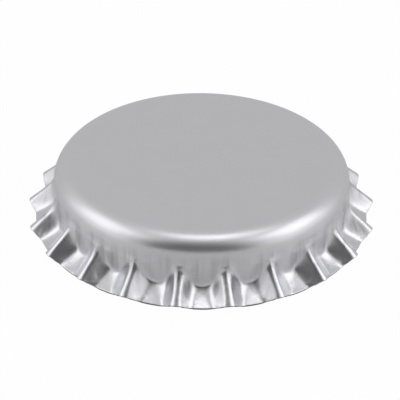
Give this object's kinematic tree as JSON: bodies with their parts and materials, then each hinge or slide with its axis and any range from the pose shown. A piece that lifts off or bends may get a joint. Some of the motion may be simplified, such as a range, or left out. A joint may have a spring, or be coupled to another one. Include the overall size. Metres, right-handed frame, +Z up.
{
  "type": "crown bottle cap",
  "caption": "Unused crown cap with a flat top panel, rounded shoulder and flared skirt folded into flutes, with a sealing liner inside.",
  "frame": {"origin": "centre of the plane that the edge of the skirt stands on", "axes": "+Z up through the middle of the top panel, -Y through the middle of a valley between two flutes"},
  "size_m": [0.032, 0.0319, 0.006],
  "materials": {
    "tinplate": "satin silver tinplate, bare and unprinted",
    "liner": "smooth off-white moulded sealing compound"
  },
  "bodies": {
    "root": {"shell": "tinplate", "liner": "liner"}
  },
  "joints": []
}
